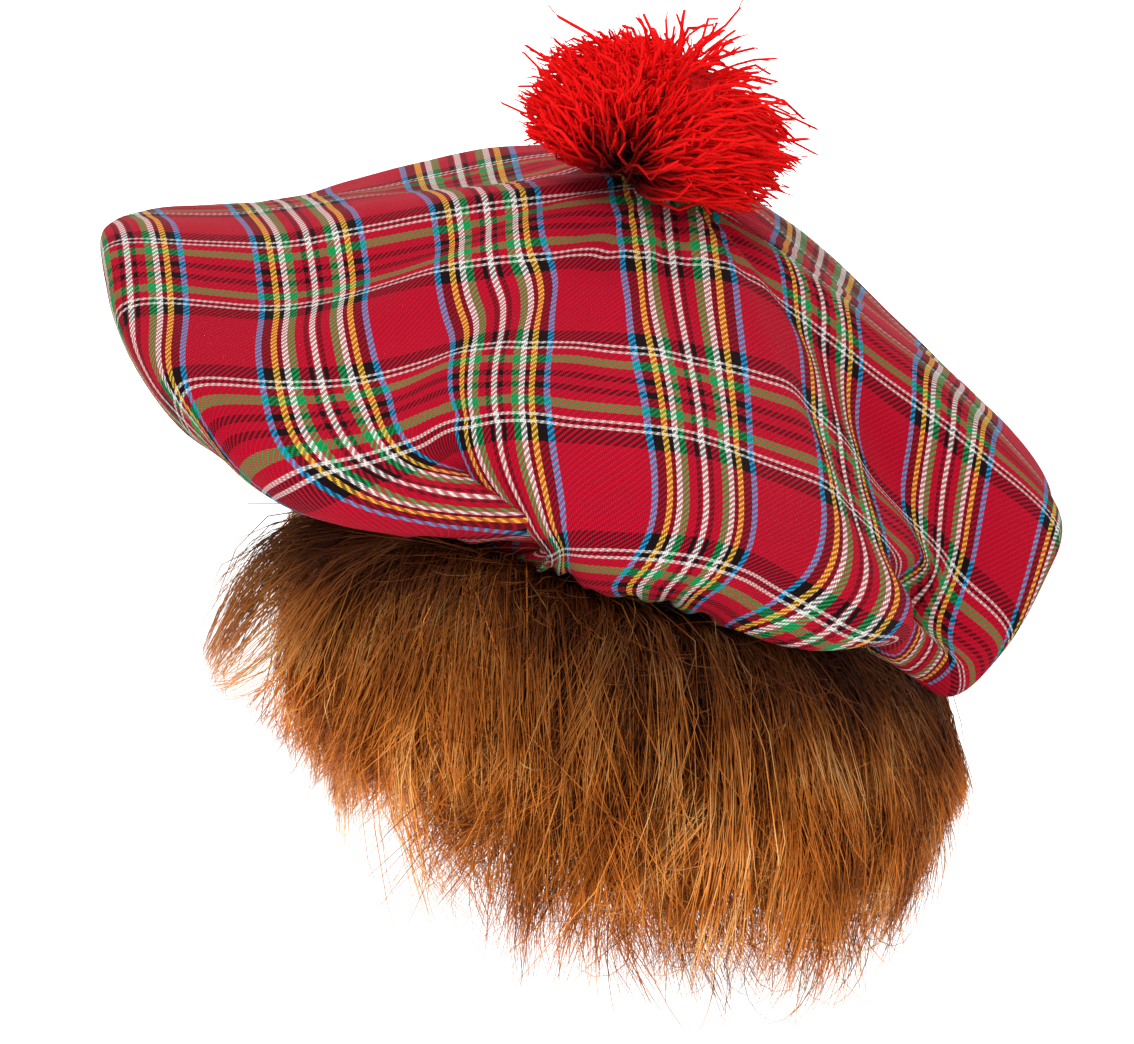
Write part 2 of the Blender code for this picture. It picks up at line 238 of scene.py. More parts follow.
# Loose single hairs, and short stray ones that cross the fall.
FLYAWAYS = 700
FLYAWAY_RADIUS = 0.12
FLYAWAY_REACH = (0.95, 1.15)
FLYAWAY_DROP = (-13, 6)
FLYAWAY_LEFT_SWEEP = 24
FRIZZ = 3000
FRIZZ_RADIUS = 0.14
FRIZZ_START = (0.2, 0.9)
FRIZZ_LENGTH = (14, 40)
FRIZZ_LIFT = (0.5, 4.0)
FALL_ROWS = 25
HAIR_DISTANCE = 110.0

# Where the pieces of hair meet, in radians round the hat.
HAIR_PARTS_AT = (-0.95, 0.0, 0.95)

# Locks that stand out of the rest: where each starts, how far round it sweeps, how
# much of the fall it follows, how far its bulge is scaled, how much its end lifts in
# millimetres, how many degrees wide it is, and its tone, 1 the brightest.
STANDING_COLUMNS = "azimuth sweep fall reach lift width tone".split()
STANDING_LOCKS = [
    (-34, -48, 0.76, 1.95, 11, 1.5, 0.8),
    (-40, -44, 0.72, 1.90, 10, 1.6, 0.9),
    (-48, -38, 0.64, 1.80, 8, 1.8, 0.8),
    (-56, -31, 0.55, 1.70, 7, 1.8, 0.9),
    (-40, -38, 1.10, 1.60, 13, 1.5, 0.8),
    (-46, -34, 1.16, 1.50, 11, 1.6, 0.9),
    (-34, -34, 1.25, 1.30, 12, 1.5, 0.5),
    (-40, -28, 1.25, 1.24, 10, 1.8, 0.6),
    (-24, -32, 1.25, 1.22, 10, 1.5, 0.5),
    (-30, -24, 1.25, 1.16, 8, 1.8, 0.5),
    (-31, -12, 0.80, 1.10, 3, 1.6, 0.85),
    (-14, -6, 0.62, 1.12, 3, 1.2, 0.85),
    (-4, -6, 0.50, 1.14, 3, 1.0, 0.8),
    (4, -2, 0.58, 1.14, 3, 1.0, 0.95),
    (15, 0, 0.94, 1.16, 4, 1.3, 1.1),
    (27, 2, 0.97, 1.10, 3, 1.4, 0.8),
    (34, 3, 0.72, 1.14, 3, 1.2, 0.95),
    (44, 6, 0.86, 1.10, 3, 1.6, 0.7),
    (70, 16, 0.80, 1.15, 7, 4.0, 0.5),
    (78, 14, 0.92, 1.15, 7, 4.0, 0.5),
]

# The pompom, as in the part but 2 mm wider each way in X, and its cut yarn. The yarns
# part at a hollow at the front, round which the yarn has painted shade, and the core is set back
# from it.
POMPOM_CENTRE = (10.5, -2.0, 126.7)
POMPOM_HALF = np.array((42.0, 39.0, 27.0))
POMPOM_LEAN = (12.0, 12.0)
YARNS = 2900
YARN_RADIUS = 0.50
YARN_STEPS = 7
BLUNT_FROM = 0.965
LOWEST_WAY = -0.88
PROUD_SIZE = (0.06, 0.24)
FIBRE_RADIUS = 0.22
FIBRE_LENGTH = (2.0, 4.5)
PARTING_WAY = (-0.24, -0.80, -0.52)
PARTING_ANGLE = 30.0
PARTING_DEPTH = 0.50
# Painted shade round the hollow: its middle as a share of the half size, and where it starts and
# stops fading.
HOLLOW_SHADE_AT = 0.80
HOLLOW_SHADE_FADE = (4.0, 24.0)
CORE_SIZE = 0.50
CORE_BACK = 3.0
CORE_BOTTOM = -13.0

# Colours, and painted shade that darkens them, each with its place on a scale from 0 to 1.
HAIR_COLOURS = [(0.0, (0.06, 0.011, 0.0008)), (0.3, (0.29, 0.066, 0.005)),
                (0.55, (0.56, 0.15, 0.014)), (0.8, (0.90, 0.30, 0.045)), (1.0, (1.0, 0.54, 0.18))]
# Painted shade that darkens each strand towards its root, under the crown's rim.
HAIR_ROOT_PAINTED_SHADE = [(0.0, (0.05, 0.035, 0.035)), (0.28, (0.15, 0.12, 0.12)), (0.58, (1, 1, 1))]
# Painted shade: the under-fur is darker than the strands, for the shade deep in the hair.
UNDER_FUR_PAINTED_SHADE_COLOURS = [(0.3, (0.03, 0.009, 0.002)), (0.55, (0.13, 0.04, 0.006)),
                     (0.75, (0.30, 0.095, 0.014))]
YARN_COLOURS = [(0.1, (0.62, 0.002, 0.003)), (0.45, (0.84, 0.006, 0.006)),
                (0.8, (0.95, 0.016, 0.012))]
# Painted shade that darkens each yarn where it goes down into the ball.
YARN_ROOT_PAINTED_SHADE = [(0.0, (0.08, 0.06, 0.06)), (0.16, (0.40, 0.36, 0.36)), (0.40, (1, 1, 1))]
# Painted shade round the hollow where the yarns part.
HOLLOW_PAINTED_SHADE = [(0.0, (0.05, 0.10, 0.30)), (0.5, (0.36, 0.32, 0.40)), (1.0, (1, 1, 1))]
# Painted shade: the core is darker than the yarn, for the shade deep in the ball.
CORE_PAINTED_SHADE_COLOURS = [(0.3, (0.22, 0.001, 0.003)), (0.7, (0.55, 0.004, 0.006))]
# Black tape, lighter on its ribs and with painted shade in its grooves.
TAPE_COLOURS_AND_GROOVE_SHADE = [(0.2, (0.008, 0.007, 0.009)), (1.1, (0.045, 0.04, 0.045))]
# Brown knit, with painted shade at the edges of its stitches.
KNIT_COLOURS_AND_STITCH_SHADE = [(0.3, (0.02, 0.009, 0.004)), (0.9, (0.12, 0.055, 0.022))]
PAPER_COLOURS = [(0.0, (0.90, 0.90, 0.90)), (1.0, (0.93, 0.93, 0.93))]

# The studio, in metres. A lamp has a name, a place, an aim, a width and a power.
FLOOR_HEIGHT = -0.34
FLOOR_HALF_WIDTH = 14.0
CURVE_AT = 4.0
CURVE_RADIUS = 1.5
CURVE_STEPS = 12
WALL_TOP = 5.0
PAPER_GLOW = 0.42
SURROUND_STRENGTH = 0.45
HAT_AIM = (0, 0, 0.02)
LAMPS = [
    ("key", (-0.7, -1.5, 1.8), HAT_AIM, 0.9, 36.0),
    ("fill", (1.5, -1.5, 0.6), HAT_AIM, 1.3, 13.0),
    ("top", (0.1, 0.3, 1.9), HAT_AIM, 1.2, 14.0),
    ("low", (-1.5, -1.5, 0.1), HAT_AIM, 1.0, 6.0),
    ("back_wall", (0.0, 2.4, 1.6), (0, 5.0, 0.6), 2.2, 110.0),
]


def hermite(t, start, end, start_tangent, end_tangent):
    """A cubic from start to end as t goes from 0 to 1."""
    return ((2 * t**3 - 3 * t**2 + 1) * start + (t**3 - 2 * t**2 + t) * start_tangent
            + (3 * t**2 - 2 * t**3) * end + (t**3 - t**2) * end_tangent)


def periodic(places, values, at, rise=0.0):
    """Cubic interpolation round a full turn, on which the values grow by rise."""
    x = np.concatenate([places[-2:] - 360, places, places[:2] + 360])
    y = np.concatenate([values[-2:] - rise, values, values[:2] + rise])
    step = np.diff(x)
    slope = np.diff(y) / step
    tangent = np.zeros(len(x))
    tangent[1:-1] = (slope[:-1] * step[1:] + slope[1:] * step[:-1]) / (step[1:] + step[:-1])
    i = np.clip(np.searchsorted(x, at, side="right") - 1, 1, len(x) - 3)
    t = (at - x[i]) / step[i]
    return hermite(t, y[i], y[i + 1], step[i] * tangent[i], step[i] * tangent[i + 1])


def smooth_between(places, values, at):
    """Values between the rows of an open table, eased along a smooth curve."""
    tangent = np.gradient(values, places)
    i = np.clip(np.searchsorted(places, at, side="right") - 1, 0, len(places) - 2)
    step = places[i + 1] - places[i]
    t = (at - places[i]) / step
    return hermite(t, values[i], values[i + 1], step * tangent[i], step * tangent[i + 1])


def smooth_tangents(rows, least=0.0):
    """The steps and tangents of smooth curves through the points in each row."""
    step = np.linalg.norm(np.diff(rows, axis=1), axis=2)[:, :, None] ** 0.5 + least
    rate = np.diff(rows, axis=1) / step
    tangent = np.zeros_like(rows)
    tangent[:, 1:-1] = (rate[:, :-1] * step[:, 1:] + rate[:, 1:] * step[:, :-1]) / (
        step[:, 1:] + step[:, :-1])
    tangent[:, 0] = 1.5 * rate[:, 0] - 0.5 * tangent[:, 1]
    tangent[:, -1] = 1.5 * rate[:, -1] - 0.5 * tangent[:, -2]
    return step, tangent


def smoothstep(low, high, x):
    t = np.clip((x - low) / (high - low), 0.0, 1.0)
    return t * t * (3 - 2 * t)


def plateau(x, start, full, fading, end):
    """1 between full and fading, and 0 before start and after end."""
    return smoothstep(start, full, x) * (1 - smoothstep(fading, end, x))


def unit(vectors, least=0.0):
    return vectors / (np.linalg.norm(vectors, axis=-1, keepdims=True) + least)


def outward(azimuth):
    """Level unit vectors at the azimuths."""
    a = np.radians(azimuth)
    return np.stack([np.sin(a), -np.cos(a), np.zeros_like(a)], axis=-1)


def opening(azimuth, out=0.0, up=0.0):
    """Points beside the oval of the opening, out and up in its tilted plane."""
    a = np.radians(azimuth)
    x = (OPENING_HALF_X + out) * np.sin(a)
    y = -(OPENING_HALF_Y + out) * np.cos(a)
    c = math.cos(math.radians(OPENING_TILT))
    s = math.sin(math.radians(OPENING_TILT))
    return np.stack([c * x + s * up, y + 0 * up, c * up - s * x], axis=-1)


def swell(place, centre, half_width):
    """A smooth bump of height 1 at centre, 0 beyond half_width from it."""
    return max(0.0, 1 - ((place - centre) / half_width) ** 2) ** 2


def turned(points, degrees):
    """Points turned about the upright line through the peak."""
    a = np.radians(degrees)
    away = points - PEAK
    x = np.cos(a) * away[:, 0] - np.sin(a) * away[:, 1]
    y = np.sin(a) * away[:, 0] + np.cos(a) * away[:, 1]
    return PEAK + np.stack([x, y, away[:, 2]], axis=1)


def crown_points(cloth, rings):
    """The crown's outer surface: a row of points for each ring, 0 at the peak."""
    rows = np.array(CROWN_SECTIONS, float)
    t = {}
    for k, name in enumerate(CROWN_COLUMNS[1:], 1):
        rise = 360.0 if name.startswith("turn") else 0.0
        t[name] = periodic(rows[:, 0], rows[:, k], cloth, rise)

    def from_peak(azimuth, out, down):
        return PEAK + outward(azimuth) * out[:, None] - np.outer(down, (0, 0, 1))

    slope = from_peak(t["turn_top"], t["knee_out"] / 2, t["knee_down"] / 2 - t["dome"])
    knee = from_peak(t["turn"], t["knee_out"], t["knee_down"])
    rim = from_peak(t["turn"] + t["swing"], t["rim_out"], t["rim_down"])
    peak = np.broadcast_to(PEAK, knee.shape)
    under = from_peak(t["turn"] + 2 * t["swing"], t["rim_out"] - t["roll"] / 2,
                      t["rim_down"] + t["roll"])
    edge = opening(t["turn"] + EDGE_SWING * t["swing"], EDGE_OUT)
    sag = (under + edge) / 2 - (0, 0, UNDERSIDE_SAG)
    points = np.stack([peak, slope, knee, rim, under, sag, edge], axis=1)
    step, tangent = smooth_tangents(points)

    found = []
    for ring in rings:
        i = min(int(ring), points.shape[1] - 2)
        row = hermite(ring - i, points[:, i], points[:, i + 1],
                      step[:, i] * tangent[:, i], step[:, i] * tangent[:, i + 1])
        pinch = swell(ring, *NOTCH_PUSH) - 0.5 * swell(ring, *NOTCH_LIP)
        tucked = plateau(ring, *POCKET_REACH)
        row = row - outward(t["turn"]) * (t["notch"] * pinch + t["pocket"] * tucked)[:, None]
        past_knee = min(max(ring - 2, 0.0), 1.0)
        late = FOLD_DELAY * (past_knee - past_knee**2.5)
        found.append(turned(row, -t["swing"] * late))
    return np.array(found), t["ease"]


def ring_quads(rings, count):
    """The faces between closed rings of count points, four corners in each row."""
    r, c = np.meshgrid(np.arange(rings - 1), np.arange(count), indexing="ij")
    after = (c + 1) % count
    return np.stack([r * count + c, (r + 1) * count + c,
                     (r + 1) * count + after, r * count + after], axis=-1).reshape(-1, 4)


def face_list(*groups):
    """The corners and sizes of all faces, from arrays with a face in each row."""
    return (np.concatenate([np.ravel(group) for group in groups]),
            np.concatenate([np.full(len(group), len(group[0])) for group in groups]))


def mesh_object(name, points, faces, finish):
    """An object with a smooth mesh from millimetre points and its faces' corners and sizes."""
    mesh = bpy.data.meshes.new(name)
    corners, sizes = faces
    mesh.vertices.add(len(points))
    mesh.vertices.foreach_set("co", (np.asarray(points, float) * MM).ravel())
    mesh.loops.add(len(corners))
    mesh.loops.foreach_set("vertex_index", corners)
    mesh.polygons.add(len(sizes))
    mesh.polygons.foreach_set("loop_start", np.concatenate([[0], np.cumsum(sizes)[:-1]]))
    mesh.update(calc_edges=True)
    mesh.validate()
    mesh.materials.append(finish)
    mesh.shade_smooth()
    made = bpy.data.objects.new(name, mesh)
    bpy.context.scene.collection.objects.link(made)
    return made


def add_tones(made, tones):
    """A colour for each vertex, which the finish reads as numbers."""
    layer = made.data.color_attributes.new("tone", "FLOAT_COLOR", "POINT")
    colours = np.concatenate([tones, np.ones((len(tones), 1))], axis=1)
    layer.data.foreach_set("color", colours.ravel())


class Shader:
    """Short names for adding nodes to a new material."""

    def __init__(self, name):
        self.material = bpy.data.materials.new(name)
        self.material.use_nodes = True
        self.tree = self.material.node_tree
        self.surface = self.tree.nodes["Principled BSDF"]

    def put(self, node, values):
        """Numbers, colours or links for a node's inputs, by their name or place."""
        for key, value in values.items():
            if isinstance(value, bpy.types.NodeSocket):
                self.tree.links.new(value, node.inputs[key])
            else:
                node.inputs[key].default_value = value

    def node(self, kind, values, **settings):
        made = self.tree.nodes.new(kind)
        for name, value in settings.items():
            setattr(made, name, value)
        self.put(made, values)
        return made

    def math(self, operation, *values):
        values = dict(enumerate(values))
        return self.node("ShaderNodeMath", values, operation=operation).outputs[0]

    def between(self, share, low, high):
        """low where share is 0, high where it is 1."""
        return self.math("MULTIPLY_ADD", share, high - low, low)

    def either(self, share, a, b):
        """One or the other of two links: b where share is 1, a where it is 0."""
        return self.node("ShaderNodeMix", {0: share, 2: a, 3: b}, data_type="FLOAT").outputs[0]

    def mix(self, share, a, b, blend="MIX"):
        values = {0: share, 6: a, 7: b}
        return self.node("ShaderNodeMix", values, data_type="RGBA", blend_type=blend).outputs[2]

    def shaded(self, colour, shade):
        return self.mix(1.0, colour, shade, "MULTIPLY")

    def ramp(self, value, stops, interpolation="LINEAR"):
        made = self.node("ShaderNodeValToRGB", {0: value})
        made.color_ramp.interpolation = interpolation
        elements = made.color_ramp.elements
        while len(elements) > 1:
            elements.remove(elements[-1])
        elements[0].position = stops[0][0]
        elements[0].color = (*stops[0][1], 1.0)
        for place, colour in stops[1:]:
            elements.new(place).color = (*colour, 1.0)
        return made.outputs[0]

    def noise(self, where, scale, detail=2.0, roughness=0.5):
        values = {"Vector": where, "Scale": scale, "Detail": detail, "Roughness": roughness}
        return self.node("ShaderNodeTexNoise", values).outputs["Fac"]

    def place(self):
        return self.node("ShaderNodeTexCoord", {}).outputs["Object"]

    def tone(self):
        made = self.node("ShaderNodeAttribute", {}, attribute_name="tone")
        return self.node("ShaderNodeSeparateColor", {0: made.outputs["Color"]}).outputs[:3]

    def bump(self, height, distance, strength):
        values = {"Strength": strength, "Distance": distance, "Height": height}
        return self.node("ShaderNodeBump", values).outputs[0]

    def finish(self, colour, roughness, normal=None, sheen=0.0, sheen_tint=(1, 1, 1),
               specular=0.3):
        self.put(self.surface, {
            "Base Color": colour, "Roughness": roughness, "Sheen Weight": sheen,
            "Sheen Roughness": 0.4, "Sheen Tint": (*sheen_tint, 1.0),
            "Specular IOR Level": specular})
        if normal is not None:
            self.put(self.surface, {"Normal": normal})
        return self.material


def stripes(s, place, count, table):
    """The stripe colour of each whole thread at a place counted in repeats."""
    thread = s.math("FLOOR", s.math("MULTIPLY", place, count))
    middle = s.math("DIVIDE", s.math("ADD", thread, 0.5), count)
    from_band = s.math("SUBTRACT", s.math("FRACT", s.math("ADD", middle, 0.5)), 0.5)
    starts = [0.0] + [end * 2 for end, _ in table[:-1]]
    stops = [(start, colour) for start, (_, colour) in zip(starts, table)]
    away = s.math("MULTIPLY", s.math("ABSOLUTE", from_band), 2.0)
    return s.ramp(away, stops, "CONSTANT"), thread


def tartan_cloth():
    """Two-two twill in a red tartan, drawn thread by thread from the cloth's own map, with painted
    shade between its threads and painted light and shade along its ribs.
    """
    s = Shader("tartan_twill")
    cloth_map = s.node("ShaderNodeUVMap", {}, uv_map="cloth").outputs[0]
    across, along = s.node("ShaderNodeSeparateXYZ", {0: cloth_map}).outputs[:2]
    warp, end = stripes(s, across, ENDS, WARP_STRIPES)
    weft, pick = stripes(s, along, PICKS, WEFT_STRIPES)
    in_end = s.math("FRACT", s.math("MULTIPLY", across, ENDS))
    in_pick = s.math("FRACT", s.math("MULTIPLY", along, PICKS))
    phase = s.math("FLOORED_MODULO", s.math("ADD", end, pick), TWILL_REPEAT)
    weft_up = s.math("GREATER_THAN", phase, 1.5)
    side = s.either(weft_up, in_end, in_pick)
    run = s.either(weft_up, s.math("ADD", phase, in_pick),
                   s.math("ADD", s.math("SUBTRACT", phase, 2.0), in_end))
    round_side = s.math("SUBTRACT", 1.0, s.math("POWER", s.between(side, -1.0, 1.0), 2.0))
    round_run = s.math("SINE", s.math("MULTIPLY", run, math.pi / 2))
    height = s.math("MULTIPLY", round_side, round_run)

    fuzz = s.noise(cloth_map, 900.0)
    worn = s.noise(s.place(), 22.0, 3.0)
    # Painted shade from each thread's height, darker at its edges, times the ribs' painted light
    # and shade and the cloth's own fuzz and worn tone.
    painted_light_and_tone = s.between(height, *THREAD_EDGE_PAINTED_SHADE)
    # The ribs' painted light and shade, and the fuzz and worn marks of the cloth's own tone.
    for more in (s.between(fuzz, *FUZZ_SHADES), s.between(weft_up, *RIB_PAINTED_LIGHT_AND_SHADE),
                 s.between(worn, *WORN_SHADES)):
        painted_light_and_tone = s.math("MULTIPLY", painted_light_and_tone, more)
    shade = s.node("ShaderNodeCombineColor", {0: painted_light_and_tone, 1: painted_light_and_tone, 2: painted_light_and_tone}).outputs[0]
    colour = s.mix(s.between(weft_up, THREAD_BLEND, 1 - THREAD_BLEND), warp, weft)
    colour = s.shaded(colour, shade)
    bump = s.bump(height, THREAD_HEIGHT * MM, 0.9)
    return s.finish(colour, s.between(fuzz, 0.72, 0.92), bump, 0.03, (1.0, 0.6, 0.6), 0.06)


def cloth_relief(points, angle, ring):
    """How far the cloth stands out: its gathers, pucker, waves and creases."""
    wobble = 1.7 * np.sin(5 * angle + 0.6) + 1.1 * np.sin(11 * angle + 2.0)
    gathers = np.cos(GATHER_COUNT * angle + wobble) + 0.35 * np.cos(2.3 * GATHER_COUNT * angle)
    depth = GATHER_DEPTH * smoothstep(*GATHER_GROWS, ring)
    depth = depth * (1 - 0.55 * smoothstep(*GATHER_HELD, ring))
    pucker = PUCKER_DEPTH * np.cos(PUCKER_COUNT * angle + 2 * np.sin(3 * angle))
    pucker = pucker * plateau(ring, *PUCKER_REACH)
    waves, creases = (
        np.array([[noise.noise(Vector(p) / length + aside) for p in row] for row in points])
        for length, aside in ((WAVE_LENGTH, Vector()), (CREASE_LENGTH, Vector((9, 0, 0)))))
    wavy = (WAVE_DEPTH * waves + CREASE_DEPTH * creases) * plateau(ring, *WAVE_REACH)
    return depth * gathers + pucker + wavy


def flat_cloth(length, angle):
    """The size and area of the flat cloth, from the length of each of its radial lines."""
    next_angle = np.roll(angle, -1)
    next_angle[-1] += 2 * math.pi
    area = (length * np.roll(length, -1) * np.sin(next_angle - angle) / 2).sum() * MM * MM
    reach = np.stack([length * np.sin(angle), length * np.cos(angle)], axis=1) * MM
    return reach.max(axis=0) - reach.min(axis=0), area


def make_crown():
    """The crown's cloth on a fine grid, with its map, its relief and its wall."""
    rings = np.concatenate([np.linspace(i, i + 1, n, endpoint=False)
                            for i, n in enumerate(CROWN_ROWS)] + [[len(CROWN_ROWS)]])[1:]
    cloth = np.concatenate([np.arange(start, end - step / 2, step)
                            for start, end, step in CROWN_ARCS])
    points, ease = crown_points(cloth, rings)
    count = len(cloth)

    start = np.broadcast_to(PEAK, points[:1].shape)
    lengths = np.linalg.norm(np.diff(np.concatenate([start, points]), axis=0), axis=2)
    length = np.cumsum(lengths, axis=0) * ease
    angle = np.radians(cloth)
    maps = np.stack([SETT_AT_PEAK[0] + length * np.sin(angle) / SETT_ACROSS,
                     SETT_AT_PEAK[1] + length * np.cos(angle) / SETT_ALONG], axis=-1)
    flat, flat_area = flat_cloth(length[-1], angle)

    around = np.roll(points, -1, axis=1) - np.roll(points, 1, axis=1)
    normal = unit(np.cross(np.gradient(points, axis=0), around))
    points = points + normal * cloth_relief(points, angle, rings[:, None])[:, :, None]

    vertices = np.concatenate([points.reshape(-1, 3), [PEAK]])
    map_at = np.concatenate([maps.reshape(-1, 2), [SETT_AT_PEAK]])
    quads = ring_quads(len(rings), count)
    c = np.arange(count)
    top = np.stack([np.full(count, len(vertices) - 1), c, (c + 1) % count], axis=-1)
    crown = mesh_object("crown_cloth", vertices, face_list(quads, top), tartan_cloth())
    layer = crown.data.uv_layers.new(name="cloth")
    corner = np.zeros(len(crown.data.loops), np.int32)
    crown.data.loops.foreach_get("vertex_index", corner)
    layer.uv.foreach_set("vector", map_at[corner].astype(np.float32).ravel())
    wall = crown.modifiers.new("wall", "SOLIDIFY")
    wall.thickness = CROWN_WALL * MM
    wall.offset = -1
    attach(crown, "root")
    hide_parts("crown")


def tubes(paths, radii, sides=3):
    """Closed thin tubes along many paths. Returns their vertices and faces, how far
    along its path each vertex is, and how many vertices a tube has."""
    count, steps = paths.shape[:2]
    tangent = unit(np.gradient(paths, axis=1), 1e-9)
    guide = np.where(np.abs(tangent[:, :1, 2:]) > 0.9, (1.0, 0.0, 0.0), (0.0, 0.0, 1.0))
    across = unit(np.cross(tangent, np.broadcast_to(guide, tangent.shape)), 1e-9)
    other = np.cross(tangent, across)
    turn = np.arange(sides) * 2 * math.pi / sides
    ring = (across[:, :, None] * np.cos(turn)[None, None, :, None]
            + other[:, :, None] * np.sin(turn)[None, None, :, None])
    rings = paths[:, :-1, None] + ring[:, :-1] * radii[:, :-1, None, None]
    body = rings.reshape(count, -1, 3)
    vertices = np.concatenate([body, paths[:, -1:]], axis=1).reshape(-1, 3)
    each = (steps - 1) * sides + 1
    k = np.arange(sides)
    last = (steps - 2) * sides
    quads = ring_quads(steps - 1, sides)[:, [0, 3, 2, 1]]
    tips = np.stack([last + k, last + (k + 1) % sides, np.full(sides, each - 1)], axis=-1)
    one, sizes = face_list(quads, tips, [k[::-1]])
    corners = (one[None, :] + (np.arange(count) * each)[:, None]).ravel()
    place = np.concatenate([np.repeat(np.linspace(0, 1, steps)[:-1], sides), [1.0]])
    return vertices, (corners, np.tile(sizes, count)), np.tile(place, count), each


def hair_table(azimuth):
    """The columns of the hair's sections at the azimuths, held to where hair grows."""
    rows = np.array(HAIR_SECTIONS, float)
    azimuth = np.clip(azimuth, -FACE_OPEN_AT, FACE_OPEN_AT)
    return {name: smooth_between(rows[:, 0], rows[:, k], azimuth)
            for k, name in enumerate(HAIR_COLUMNS)}


def hair_root(azimuth):
    return opening(azimuth, -BAND_THICK / 2, BAND_BOTTOM)


def fall(azimuth, layer, reach, drop, sweep):
    """Rows of out and height from the backing over the shoulder down to the hem. reach
    scales how far out they go, drop moves their end, and sweep is how far round it is."""
    t = hair_table(azimuth)
    middle = hair_table(azimuth + BULGE_SWEEP * sweep)
    end = hair_table(azimuth + sweep)
    top = hair_root(azimuth)[:, 2] - HAIR_TOP_GAP
    over_band = 1 - smoothstep(*COVERS_BAND, layer)
    keep = 1 - LAYER_SHRINK * layer
    root = np.stack([0.3 + over_band * (2.6 + 2.3 * np.sin(np.radians(azimuth))),
                     top + ROOT_RISE * over_band - layer * (BACKING_DROP - 6)], axis=1)
    shoulder_height = t["shoulder_height"] - 0.5 - layer * 0.85 * BACKING_DROP
    shoulder = np.stack([t["shoulder_out"] * keep * reach, shoulder_height], axis=1)
    bulge = np.stack([middle["bulge_out"] * keep * reach,
                      middle["bulge_height"] - 6 * layer], axis=1)
    hem = np.stack([end["hem_out"] * (0.35 + 0.65 * keep) * reach,
                    end["hem_height"] + drop], axis=1)
    near_hem = bulge * (1 - NEAR_HEM) + hem * NEAR_HEM
    near_hem[:, 0] += 1.5 * reach
    return np.stack([root, shoulder, bulge, near_hem, hem], axis=1)


def along_rows(rows, places):
    """Smooth curves through rows of points, at each row's own places from 0 to 1."""
    step, tangent = smooth_tangents(rows, 1e-6)
    last = rows.shape[1] - 1
    places = np.broadcast_to(places, (len(rows), places.shape[-1]))
    i = np.clip((places * last).astype(int), 0, last - 1)
    row = np.arange(len(rows))[:, None]
    t = (places * last - i)[..., None]
    return hermite(t, rows[row, i], rows[row, i + 1],
                   step[row, i] * tangent[row, i], step[row, i] * tangent[row, i + 1])


def to_space(azimuth, flow):
    """Out and height at azimuths, as points beside the opening."""
    points = hair_root(azimuth) + outward(azimuth) * np.minimum(flow[..., :1], FARTHEST_OUT)
    points[..., 2] = np.maximum(flow[..., 1], LOWEST_TIP)
    return points


def make_locks(rng):
    """A table of the locks: columns of equal length by name."""
    count = LOCKS
    azimuth = rng.uniform(-FACE_OPEN_AT + 2, FACE_OPEN_AT - 2, count)
    layer = rng.uniform(0, 1, count) ** 1.5
    outer = 1 - smoothstep(*OUTER_LAYERS, layer)
    left = plateau(azimuth, *LEFT_SIDE)
    right = plateau(azimuth, *RIGHT_SIDE)
    short = outer * rng.uniform(*CUT_SHORT, count) * (rng.uniform(0, 1, count) > FULL_LENGTH_SHARE)
    sweep = rng.normal(0, SWEEP_SPREAD, count) * (1 + outer) + RIGHT_SWEEP * right
    sweep = sweep - (LEFT_SWEEP + 34.0 * short) * left
    parted = np.exp(-((azimuth - PARTING_AT) / PARTING_WIDTH) ** 2)
    locks = {
        "azimuth": azimuth, "layer": layer, "fall": 1 - short, "sweep": sweep,
        "reach": rng.uniform(*LOCK_REACH, count),
        "drop": rng.normal(0, 6, count) * (1 + 0.9 * left) + 7 * layer,
        "lift": rng.uniform(*LOCK_LIFT, count) * outer + left,
        "width": rng.uniform(*LOCK_WIDTH, count),
        "clump": rng.uniform(*LOCK_CLUMP, count) ** (1 - 0.5 * left),
        # Painted shade darkens the tone at the parting, and painted light lifts it on the left.
        "tone": rng.uniform(0, 1, count) ** 1.5 * (1 - 0.75 * parted) + LEFT_PAINTED_LIGHT * left,
        # shade sets how far down the painted root shade reaches: further at the parting, less far
        # on the left.
        "shade": 1 - 0.36 * parted + LEFT_ROOT_SHADE_LIFT * left,
    }
    rows = np.array(STANDING_LOCKS, float)
    more = {name: rows[:, k] for k, name in enumerate(STANDING_COLUMNS)}
    plain = {"layer": 0.05, "drop": 0.0, "clump": 0.95, "shade": 1.0}
    for name in locks:
        extra = more[name] if name in more else np.full(len(rows), plain[name])
        locks[name] = np.concatenate([locks[name], extra, extra])
    return locks


